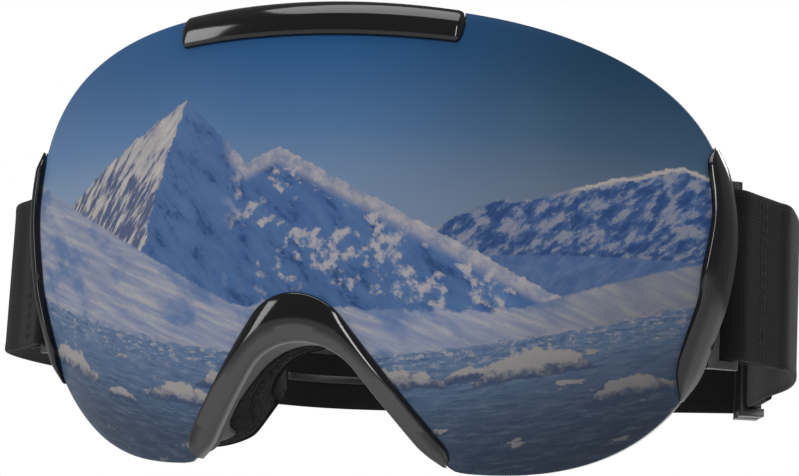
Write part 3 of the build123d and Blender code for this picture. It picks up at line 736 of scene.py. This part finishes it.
def beside_bar(side, along, outward):
    """A point near the strap bar, measured along the strap end and outwards from it, seen from above."""
    turn, out, sign = math.radians(TURNED_BACK[side]), math.radians(STRAP_OUT[side]), SIGN[side]
    bar = (sign * (PIN[0] + REACH * math.cos(turn)), PIN[1] + REACH * math.sin(turn))
    way, normal = (sign * math.sin(out), math.cos(out)), (sign * math.cos(out), -math.sin(out))
    return tuple(bar[axis] + way[axis] * along + normal[axis] * outward for axis in range(2))


def beside_stretch(side, along, outward):
    """A point on the slider's straight stretch, measured from its front end and outwards."""
    start, end = (np.array(p) for p in STRETCH[side])
    run = (end - start) / np.linalg.norm(end - start)
    normal = SIGN[side] * np.array((run[1], -run[0]))
    return tuple(start + run * along + normal * outward)


def stretch_length(side):
    return float(np.linalg.norm(np.subtract(*STRETCH[side])))


def webbing(name, route, step=1.5):
    """A ribbon of webbing along a route seen from above, with selvages and rounded edges."""
    length = float(np.sum(np.linalg.norm(np.diff(np.array(route), axis=0), axis=1)))
    way = np.array(curve_through(route, int(length / step) + 2))
    run = np.gradient(way, axis=0)
    run /= np.linalg.norm(run, axis=1)[:, None]
    heights = [-1.0, -0.992, -0.972, -0.93, -0.895, -0.87, -0.55, -0.2, 0.2, 0.55, 0.87, 0.895, 0.93, 0.972,
               0.992, 1.0]
    thick = [0.30, 0.70, 0.95, 1.0, 0.97, 0.90, 0.89, 0.90, 0.90, 0.89, 0.90, 0.97, 1.0, 0.95, 0.70, 0.30]
    half = STRAP_THICK / 2
    rings = []
    for (x, y), (rx, ry) in zip(way, run):
        out = [(x + ry * half * t, y - rx * half * t, STRAP_MID_Z + h * STRAP_HALF) for h, t in zip(heights, thick)]
        back = [(x - ry * half * t, y + rx * half * t, STRAP_MID_Z + h * STRAP_HALF) for h, t in zip(heights, thick)]
        rings.append(out + back[::-1])
    piece = loft(name, rings)
    place = np.empty(len(piece.data.vertices) * 3)
    piece.data.vertices.foreach_get("co", place)
    place = place.reshape(-1, 3) / MM
    distance = np.concatenate([[0], np.cumsum(np.linalg.norm(np.diff(way, axis=0), axis=1))])
    nearest = np.argmin(((place[:, None, :2] - way[None]) ** 2).sum(axis=2), axis=1)
    ahead = ((place[:, :2] - way[nearest]) * run[nearest]).sum(axis=1)
    piece.data.attributes.new("along", "FLOAT", "POINT").data.foreach_set("value", distance[nearest] + ahead)
    return piece


def side_route(side):
    """From the tail sewn inside, round the bar, out along the side and to the tip inside the slider's stretch."""
    inner = LAYER - STRAP_THICK - 0.1
    around = [(0.0, -LAYER), (-0.71 * LAYER, -0.71 * LAYER), (-LAYER, 0.0), (-0.71 * LAYER, 0.71 * LAYER),
              (0.0, LAYER)]
    tail = [(STRAP_END, inner), (11.5, inner), (8.0, inner - 0.5), (4.0, -LAYER * 0.62)]
    places = tail + around + [(5.0, LAYER), (11.0, LAYER), (17.0, LAYER)]
    half = STRAP_THICK / 2
    route = [beside_bar(side, *p) for p in places] + SIDE_WAY[side]
    return route + [beside_stretch(side, t * stretch_length(side), -half) for t in (0, 0.33, 0.67, 1.0)]




def rear_route():
    half = STRAP_THICK / 2
    left = [beside_stretch("left", 6 + t * (stretch_length("left") - 6), half) for t in (0, 0.33, 0.67, 1.0)]
    right = [beside_stretch("right", 6 + t * (stretch_length("right") - 6), half)
             for t in (1.0, 0.92, 0.67, 0.33, 0)]
    corners = [beside_stretch(side, stretch_length(side) + 4.5, half - inward) for side, inward in
               (("left", 1.2), ("right", 0.5))]
    return left + corners[:1] + REAR_WAY + corners[1:] + right


# %% [markdown]
# Knitted elastic shows fine ribs along the strap, crossed by short stitches, with single threads that catch the
# light as pale specks. Both patterns run on the ribbon's own length and height, at their real pitch.

# %% Knit and other soft finishes
def knit(name, dark, light, rib=0.85, stitch=1.25):
    s = Shader(name)
    x, y, z = s.object_place()
    along = s.node("Attribute", {"attribute_name": "along"}, out="Fac")
    ribs = (z * (2 * math.pi / rib)).math("SINE")
    offset = ribs * 0.9
    loops = (along * (2 * math.pi / stitch) + offset).math("SINE")
    weave = ribs * 0.5 + loops * 0.32
    fuzz = s.noise(s.vector(along, z * 1.6, x * 0.2), 1.7, 4.0, 0.7)
    # painted highlight: pale specks where single threads catch the light
    painted_glint = s.step(s.noise(s.vector(along * 0.8, z), 2.6, 2.0, 0.8), 0.66, 0.76)
    soft = s.noise(s.vector(along * 0.3, z * 0.4), 0.25, 2.0)
    tone = s.mix(fuzz * 0.8 + weave * 0.10, dark, light)
    tone = s.mix(painted_glint * 0.5, tone, tuple(c * 2.6 for c in light[:3]) + (1.0,))
    tone = s.mix(s.step(soft, 0.35, 0.75) * 0.35, tone, dark)
    selvage = s.step((z - STRAP_MID_Z).math("ABSOLUTE"), STRAP_HALF * 0.88, STRAP_HALF * 0.91)
    tone = s.mix(selvage * 0.5, tone, light)
    normal = s.bump(weave * 0.7 + fuzz * 0.7, 0.5, 0.00016)
    return s.surface(base_color=tone, roughness=0.92, normal=normal, sheen_weight=0.08, sheen_roughness=0.5,
                     specular_ior_level=0.12)


def foam(name, dark, light, cell, depth):
    """Open-cell foam: a net of pores, with painted shade inside them."""
    s = Shader(name)
    x, y, z = s.object_place()
    place = s.vector(x, y, z)
    cells = s.node("TexVoronoi", {"feature": "SMOOTH_F1"}, {"Vector": place, "Scale": 1 / cell, "Smoothness": 0.4},
                   out="Distance")
    grain = s.noise(place, 2.2 / cell, 3.0, 0.6)
    # painted shade: the pores are painted darker, as their hollows are in shade
    pores_painted_dark = s.step(cells, 0.30, 0.62)
    tone = s.mix(pores_painted_dark, light, dark)
    tone = s.mix(grain * 0.5, tone, light)
    return s.surface(base_color=tone, roughness=0.95, specular_ior_level=0.15,
                     normal=s.bump(pores_painted_dark * -1.0 + grain * 0.4, 0.7, depth))


strap_knit = knit("strap knit", srgb(9, 9, 9), srgb(21, 21, 22))
fleece_look = foam("fleece", srgb(13, 13, 14), srgb(36, 36, 38), 0.55, 0.0002)
soft_foam_look = foam("soft foam", srgb(20, 20, 21), srgb(52, 52, 54), 0.8, 0.0003)
firm_foam_look = foam("firm foam", srgb(14, 14, 15), srgb(38, 38, 40), 1.0, 0.0003)
vent_foam_look = foam("vent foam", srgb(10, 10, 10), srgb(44, 44, 46), 1.3, 0.0005)
print("soft finishes ready")

# %% Strap
for side in SIGN:
    piece = webbing(f"strap_{side}", side_route(side))
    start, end = beside_bar(side, 12.0, LAYER), beside_bar(side, 38.0, LAYER)
    finish(piece, None, strap_knit, "strap", f"strap_side_{side}", f"strap_end_{side}")
    start[0] * MM
    start[1] * MM
    end[0] * MM
    end[1] * MM
    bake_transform(piece)
finish(webbing("strap_back", rear_route()), "goggles", strap_knit, "strap", "strap_rear")

# %% [markdown]
# The face foam is three layers glued one on another: a firm one on the frame, a soft one, and fleece on the skin.
# Each is a ring that follows the frame's outline and the face behind it. Every layer bulges a little at its sides,
# where the glue line pulls it in, so the stack shows its layers from the side. Foam keeps its shape, so the rings
# are lofted directly.

# %% Face foam
FACE_RADIUS, FACE_AXIS_Y = 89.0, 67.0
NOSE_RADIUS, NOSE_TILT, NOSE_ROOT_Y, NOSE_SHARE = 15.0, math.radians(35.0), 0.5, 0.7
FRAME_INSET, TEMPLE_INSET, FOAM_WIDTH = 5.0, 7.5, 13.0


def face_y(x, z, grown):
    """Where the face, grown towards the lens, is at x and z: a smooth join of a brow cylinder and a nose."""
    brow = FACE_AXIS_Y - math.sqrt(max((FACE_RADIUS + grown) ** 2 - x**2, 0))
    radius = NOSE_RADIUS + NOSE_SHARE * grown
    if abs(x) >= radius:
        return brow
    nose = NOSE_ROOT_Y + z * math.tan(NOSE_TILT) - math.sqrt(radius**2 - x**2) / math.cos(NOSE_TILT)
    return min(brow, nose)


def outline_loop(inset, grow, per_part=48):
    """The outline as a closed loop, with the same number of points between the same landmarks at any inset."""
    half = HALF_WIDTH - inset - TEMPLE_INSET
    lobe_x = min(LOBE_X, half - 8)
    quarter = [half * math.sin(math.pi / 2 * i / per_part) for i in range(per_part)]
    right = [(x, top_z(x, inset, TEMPLE_INSET)) for x in quarter]
    across = [lobe_x + (half - lobe_x) * math.cos(math.pi / 2 * i / per_part) for i in range(per_part)]
    right += [(x, bottom_z(x, inset, TEMPLE_INSET, NOSE_OPENING, grow)) for x in across]
    inward = [lobe_x * (1 - i / per_part) for i in range(per_part + 1)]
    right += [(x, bottom_z(x, inset, TEMPLE_INSET, NOSE_OPENING, grow)) for x in inward]
    even = []
    for first, last in ((0, per_part), (per_part, 2 * per_part), (2 * per_part, 3 * per_part)):
        part = np.array(right[first:last + 1])
        run = np.concatenate([[0], np.cumsum(np.linalg.norm(np.diff(part, axis=0), axis=1))])
        even += [tuple(np.interp(t, run, part[:, k]) for k in range(2))
                 for t in np.linspace(0, run[-1], per_part, endpoint=False)]
    even.append(right[-1])
    return even + [(-x, z) for x, z in even[-2:0:-1]]


def foam_ring(name, near, far, bulge=0.25):
    outer, inner = outline_loop(FRAME_INSET, 0.0), outline_loop(FRAME_INSET + FOAM_WIDTH, FOAM_WIDTH)
    middle, soft = (near + far) / 2, min(0.6, (far - near) / 3)
    edge = bulge / FOAM_WIDTH
    profile = [(0.02, far), (-edge, middle), (0.0, near + soft), (0.05, near + 0.05), (0.5, near),
               (0.95, near + 0.05), (1.0, near + soft), (1 + edge, middle), (0.98, far)]
    rings = []
    for a, b in zip(outer, inner):
        ring = []
        for across, depth in profile:
            x, z = lerp(a, b, across)
            ring.append((x, face_y(x, z, depth), z))
        rings.append(ring)
    return loft(name, rings, closed=True)


FLEECE, SOFT, FIRM = (0.0, 2.0), (2.0, 7.0), (7.0, 12.0)
for name, depths, look, slot_name, node in (("fleece_lining", FLEECE, fleece_look, "fleece", "face_fleece"),
                                            ("soft_foam_ring", SOFT, soft_foam_look, "face_foam", "face_foam_soft"),
                                            ("firm_foam_ring", FIRM, firm_foam_look, "face_foam", "face_foam_firm")):
    piece = finish(foam_ring(name, *depths), "goggles", look, slot_name, node)

# %% [markdown]
# The hard parts behind the lens keep their exact shapes. The outriggers, hinge brackets and sliders are copied,
# their flat faces are merged, and their edges get a small rounding, as every moulding has: a sharp edge shows no
# highlight. The frame, seals, pegs, pins and screws keep their imported meshes and only take a finish. Moulded
# plastic has a fine spark texture where it is satin, drawn steel is brushed along its length, and silicone has a
# soft sheen.

# %% Hard parts
def satin_plastic(name, dark, light, rough, grain=0.00006):
    s = Shader(name)
    x, y, z = s.object_place()
    place = s.vector(x, y, z)
    spark = s.noise(place, 3.2, 3.0, 0.6)
    broad = s.noise(place, 0.09, 3.0)
    # lighter along convex edges, found from the mesh's pointiness
    convex_edges_lighter = s.step(s.node("NewGeometry", out="Pointiness"), 0.52, 0.60)
    tone = s.mix(spark * 0.5 + broad * 0.3, dark, light)
    tone = s.mix(convex_edges_lighter * 0.35, tone, tuple(min(c * 2.2, 1.0) for c in light[:3]) + (1.0,))
    return s.surface(base_color=tone, roughness=broad * 0.12 + rough, specular_ior_level=0.45,
                     normal=s.bump(spark, 0.35, grain))


def brushed_steel(name):
    s = Shader(name)
    x, y, z = s.object_place()
    lines = s.noise(s.vector(x * 6.0, y * 6.0, z * 0.4), 1.2, 4.0, 0.7)
    return s.surface(base_color=s.mix(lines, srgb(120, 121, 124), srgb(172, 173, 176)), metallic=1.0,
                     roughness=lines * 0.15 + 0.25, normal=s.bump(lines, 0.3, 0.00005))


def clear_sheet(name):
    s = Shader(name)
    x, _, z = s.object_place()
    haze = s.noise(s.vector(x, z), 0.05, 3.0)
    # painted reflection: the sheet is made more opaque at grazing angles, so its pale colour shows more there
    edge = s.step(s.node("LayerWeight", {}, {"Blend": 0.3}, out="Facing"), 0.35, 0.95)
    return s.surface(base_color=s.mix(haze, srgb(120, 116, 112), srgb(150, 146, 140)), roughness=haze * 0.04 + 0.04,
                     alpha=edge * 0.35 + 0.16, specular_ior_level=0.5)


def softened(node, name, radius, dissolve=True):
    """A copy of a CAD node with its flat faces merged and its edges rounded."""
    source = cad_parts[node]
    piece = bpy.data.objects.new(name, source.data.copy())
    bpy.context.collection.objects.link(piece)
    work = bmesh.new()
    work.from_mesh(piece.data)
    bmesh.ops.remove_doubles(work, verts=work.verts, dist=1e-6)
    if dissolve:
        bmesh.ops.dissolve_limit(work, angle_limit=math.radians(1.5), verts=work.verts, edges=work.edges)
    bmesh.ops.recalc_face_normals(work, faces=work.faces)
    work.to_mesh(piece.data)
    work.free()
    piece.data.polygons.foreach_set("use_smooth", [True] * len(piece.data.polygons))
    bevel = piece.modifiers.new("rounded edges", "BEVEL")
    bevel.width, bevel.segments, bevel.limit_method = radius * MM, 2, "ANGLE"
    bevel.angle_limit, bevel.harden_normals = math.radians(35), True
    return piece


satin = satin_plastic("satin black plastic", srgb(20, 20, 21), srgb(36, 36, 38), 0.42)
bracket_look = satin_plastic("bracket plastic", srgb(24, 24, 25), srgb(44, 44, 46), 0.36)
slider_look = satin_plastic("slider plastic", srgb(16, 16, 17), srgb(34, 34, 36), 0.24)
rubber = satin_plastic("seal rubber", srgb(14, 14, 14), srgb(30, 30, 30), 0.68, 0.0001)
silicone = satin_plastic("grip silicone", srgb(12, 12, 13), srgb(26, 26, 28), 0.40)
steel = brushed_steel("brushed steel")
for side in SIGN:
    body = f"{side}_outrigger"
    finish(softened(f"outrigger_{side}", f"outrigger_arm_{side}", 0.35), body, bracket_look, "bracket",
           f"outrigger_{side}")
    finish(softened(f"hinge_bracket_{side}", f"bracket_{side}", 0.25), "goggles", bracket_look, "bracket",
           f"hinge_bracket_{side}")
    finish(softened(f"slider_{side}", f"slider_frame_{side}", 0.4), f"{side}_slider", slider_look, "slider",
           f"slider_{side}")
for node, look in (("frame_body", satin), ("lens_gasket", rubber), ("lens_spacer", rubber), ("trim_pegs", satin),
                   ("hinge_pin_left", steel), ("hinge_pin_right", steel), ("bracket_screws", steel)):
    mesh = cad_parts[node].data
    mesh.materials.clear()
    mesh.materials.append(look)



def grip_strips():
    """Three silicone lines printed along the inside of the rear strap, each a low rounded bead."""
    route = np.array(curve_through(rear_route(), 240))[88:168]
    run = np.gradient(route, axis=0)
    run /= np.linalg.norm(run, axis=1)[:, None]
    face, strips = STRAP_THICK / 2 - 0.12, []
    profile = [(-1.5, 0.0), (-1.2, 0.34), (0.0, 0.46), (1.2, 0.34), (1.5, 0.0), (0.0, -0.2)]
    for number in (-1, 0, 1):
        middle = STRAP_MID_Z + number * STRAP_HALF / 2
        rings = [[(x - ry * (face + d), y + rx * (face + d), middle + h) for h, d in profile]
                 for (x, y), (rx, ry) in zip(route, run)]
        strips.append(loft(f"grip_{number + 2}", rings))
    return strips


for strip in grip_strips():
    finish(strip, "goggles", silicone, "silicone", "grip_strips")

inner = sheet_on_lens("inner_lens_clear", (8.2, 8.0, 8.0, 8.2), (-6.0, -6.2, -6.8, -7.0), TEMPLE_INSET,
                      120, 40)
finish(inner, "goggles", clear_sheet("clear sheet"), "lens_clear", "inner_lens")

# %% [markdown]
# Open-cell foam covers the vents from inside. Each strip keeps its place and gets soft rounded edges.

# %% Vent foam
for node in ("top_vent_foam", "lower_vent_foam_left", "lower_vent_foam_right"):
    strip = finish(softened(node, node + "_soft", 0.4), "goggles", vent_foam_look, "vent_foam", node)

# %% [markdown]
# Stitches are small repeated shapes, which suits Geometry Nodes: a row is an edge line, resampled to the stitch
# pitch, with a short fat thread placed at each point along the line's direction. Each thread's slight turn comes
# from a seeded random value, so the result is the same on every run.

# %% Stitch rows
def stitch_tree():
    tree = bpy.data.node_groups.new("stitch row", "GeometryNodeTree")
    face = tree.interface
    face.new_socket("Geometry", in_out="INPUT", socket_type="NodeSocketGeometry")
    for label, value in (("Pitch", 0.0026), ("Thread", 0.00032), ("Fill", 0.74), ("Turn", 0.16)):
        face.new_socket(label, in_out="INPUT", socket_type="NodeSocketFloat").default_value = value
    face.new_socket("Seed", in_out="INPUT", socket_type="NodeSocketInt").default_value = 3
    face.new_socket("Material", in_out="INPUT", socket_type="NodeSocketMaterial")
    face.new_socket("Geometry", in_out="OUTPUT", socket_type="NodeSocketGeometry")

    def add(kind, settings=None, **links):
        node = tree.nodes.new(kind)
        for key, value in (settings or {}).items():
            setattr(node, key, value)
        for key, source in links.items():
            socket = node.inputs[key.replace("_", " ").title()]
            if isinstance(source, bpy.types.NodeSocket):
                tree.links.new(source, socket)
            else:
                socket.default_value = source
        return node

    given = add("NodeGroupInput").outputs
    curve = add("GeometryNodeMeshToCurve", mesh=given["Geometry"])
    row = add("GeometryNodeResampleCurve", {"mode": "LENGTH"}, curve=curve.outputs[0], length=given["Pitch"])
    tangent = add("GeometryNodeInputTangent")
    align = add("FunctionNodeAlignRotationToVector", {"axis": "Z"}, vector=tangent.outputs[0])
    chance = add("FunctionNodeRandomValue", {"data_type": "FLOAT"}, seed=given["Seed"])
    low = add("ShaderNodeMath", {"operation": "MULTIPLY"})
    tree.links.new(given["Turn"], low.inputs[0])
    low.inputs[1].default_value = -1.0
    tree.links.new(low.outputs[0], [i for i in chance.inputs if i.name == "Min" and i.type == "VALUE"][0])
    tree.links.new(given["Turn"], [i for i in chance.inputs if i.name == "Max" and i.type == "VALUE"][0])
    spin = add("ShaderNodeCombineXYZ")
    value = [o for o in chance.outputs if o.enabled][0]
    tree.links.new(value, spin.inputs[0])
    tree.links.new(value, spin.inputs[1])
    turn = add("FunctionNodeEulerToRotation", euler=spin.outputs[0])
    both = add("FunctionNodeRotateRotation", {"rotation_space": "LOCAL"}, rotation=align.outputs[0],
               rotate_by=turn.outputs[0])
    thread = add("GeometryNodeMeshUVSphere", segments=8, rings=5, radius=1.0)
    half = add("ShaderNodeMath", {"operation": "MULTIPLY"})
    tree.links.new(given["Pitch"], half.inputs[0])
    tree.links.new(given["Fill"], half.inputs[1])
    long = add("ShaderNodeMath", {"operation": "MULTIPLY"})
    tree.links.new(half.outputs[0], long.inputs[0])
    long.inputs[1].default_value = 0.5
    size = add("ShaderNodeCombineXYZ")
    tree.links.new(given["Thread"], size.inputs[0])
    tree.links.new(given["Thread"], size.inputs[1])
    tree.links.new(long.outputs[0], size.inputs[2])
    placed = add("GeometryNodeInstanceOnPoints", points=row.outputs[0], instance=thread.outputs[0],
                 rotation=both.outputs[0], scale=size.outputs[0])
    real = add("GeometryNodeRealizeInstances", geometry=placed.outputs[0])
    dressed = add("GeometryNodeSetMaterial", geometry=real.outputs[0], material=given["Material"])
    smooth = add("GeometryNodeSetShadeSmooth", geometry=dressed.outputs[0])
    end = add("NodeGroupOutput")
    tree.links.new(smooth.outputs[0], end.inputs[0])
    return tree


def thread_look():
    s = Shader("sewing thread")
    x, y, z = s.object_place()
    ply = ((x + y + z) * 7.0).math("SINE")
    fuzz = s.noise(s.vector(x, y, z), 4.0, 2.0)
    return s.surface(base_color=s.mix(fuzz, srgb(10, 10, 10), srgb(28, 28, 29)), roughness=0.75,
                     normal=s.bump(ply * 0.5 + fuzz, 0.5, 0.00008))


STITCHES, THREAD = stitch_tree(), thread_look()


def stitch_rows(name, body, rows, seed):
    """Sewn rows along the given lines, each a list of points in millimetres."""
    points, edges = [], []
    for row in rows:
        first = len(points)
        points += [tuple(c * MM for c in place) for place in row]
        edges += [(first + i, first + i + 1) for i in range(len(row) - 1)]
    mesh = bpy.data.meshes.new(name)
    mesh.from_pydata(points, edges, [])
    piece = bpy.data.objects.new(name, mesh)
    bpy.context.collection.objects.link(piece)
    modifier = piece.modifiers.new("stitches", "NODES")
    modifier.node_group = STITCHES
    sockets = {item.name: item.identifier for item in STITCHES.interface.items_tree if item.in_out == "INPUT"}
    modifier[sockets["Seed"]], modifier[sockets["Material"]] = seed, THREAD
    seen = piece.evaluated_get(bpy.context.evaluated_depsgraph_get())
    plain = bpy.data.meshes.new_from_object(seen)
    piece.modifiers.clear()
    piece.data = plain
    return finish(piece, body, THREAD, "strap")


def upright_row(place, edge=2.6):
    """An upright line over the strap's height at a place seen from above."""
    return [(*place, STRAP_MID_Z + side * (STRAP_HALF - edge)) for side in (-1, 1)]


for number, (side, sign) in enumerate(SIGN.items()):
    on_face = LAYER + STRAP_THICK / 2 + 0.02
    rows = [upright_row(beside_bar(side, along, on_face - 0.12)) for along in (7.6, 9.4)]
    stitch_rows(f"end_stitches_{side}", f"{side}_outrigger", rows, 5 + number)
    rows = [upright_row(beside_stretch(side, along, STRAP_THICK - 0.1)) for along in (8.2, 10.0)]
    stitch_rows(f"hem_stitches_{side}", "goggles", rows, 11 + number)
